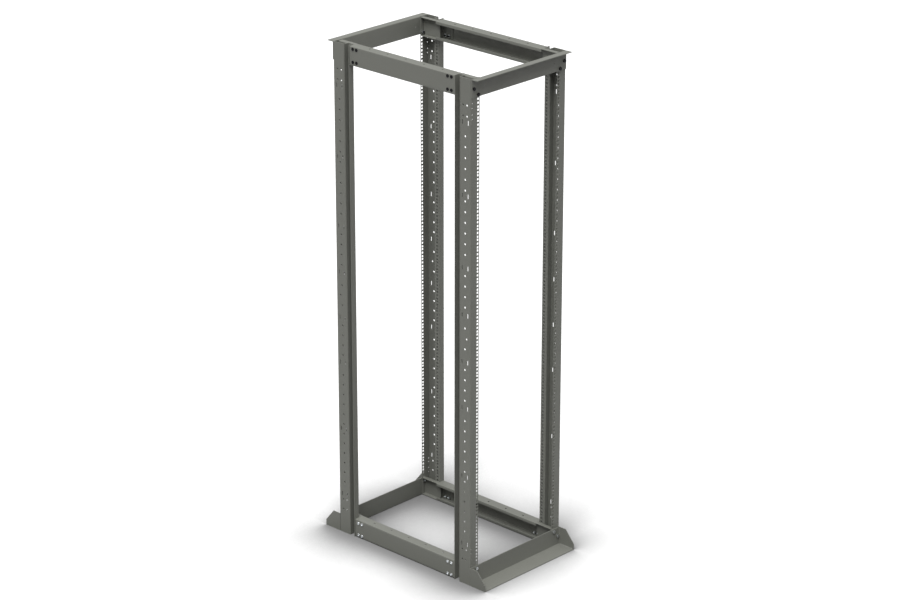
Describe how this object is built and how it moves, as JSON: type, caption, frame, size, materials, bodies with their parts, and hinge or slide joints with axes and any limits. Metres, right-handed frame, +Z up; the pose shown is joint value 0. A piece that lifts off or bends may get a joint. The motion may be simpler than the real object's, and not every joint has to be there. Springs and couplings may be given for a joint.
{
  "type": "server rack frame",
  "caption": "Open four-post 19-inch rack frame of folded sheet steel: perforated posts, top and base angles, lipped side rails, corner brackets, rail clips and M8 fasteners.",
  "frame": {"origin": "on the floor, under the centre of the frame", "axes": "+Z up; -Y towards the front; +X to the right seen from the front"},
  "size_m": [0.546, 0.927, 2.16],
  "materials": {
    "grey_powder_coat": "satin powder coat",
    "black_oxide_steel": "black oxide",
    "zinc_plated_steel": "bright zinc plate"
  },
  "bodies": {
    "root": {"top_angle_front": "grey_powder_coat", "top_angle_rear": "grey_powder_coat", "base_angle_front": "grey_powder_coat", "base_angle_rear": "grey_powder_coat", "post_front_left": "grey_powder_coat", "post_front_right": "grey_powder_coat", "post_rear_left": "grey_powder_coat", "post_rear_right": "grey_powder_coat", "side_rail_top_left": "grey_powder_coat", "side_rail_top_right": "grey_powder_coat", "corner_bracket_top_front_left": "grey_powder_coat", "rail_clip_top_front_left": "grey_powder_coat", "corner_bracket_top_front_right": "grey_powder_coat", "rail_clip_top_front_right": "grey_powder_coat", "corner_bracket_top_rear_left": "grey_powder_coat", "rail_clip_top_rear_left": "grey_powder_coat", "corner_bracket_top_rear_right": "grey_powder_coat", "rail_clip_top_rear_right": "grey_powder_coat", "angle_bolts_top": "black_oxide_steel", "angle_nuts_top": "zinc_plated_steel", "rail_bolts_top": "black_oxide_steel", "rail_nuts_top": "zinc_plated_steel", "side_rail_base_left": "grey_powder_coat", "side_rail_base_right": "grey_powder_coat", "corner_bracket_base_front_left": "grey_powder_coat", "rail_clip_base_front_left": "grey_powder_coat", "corner_bracket_base_front_right": "grey_powder_coat", "rail_clip_base_front_right": "grey_powder_coat", "corner_bracket_base_rear_left": "grey_powder_coat", "rail_clip_base_rear_left": "grey_powder_coat", "corner_bracket_base_rear_right": "grey_powder_coat", "rail_clip_base_rear_right": "grey_powder_coat", "angle_bolts_base": "zinc_plated_steel", "angle_nuts_base": "zinc_plated_steel", "rail_bolts_base": "zinc_plated_steel", "rail_nuts_base": "zinc_plated_steel"}
  },
  "joints": []
}
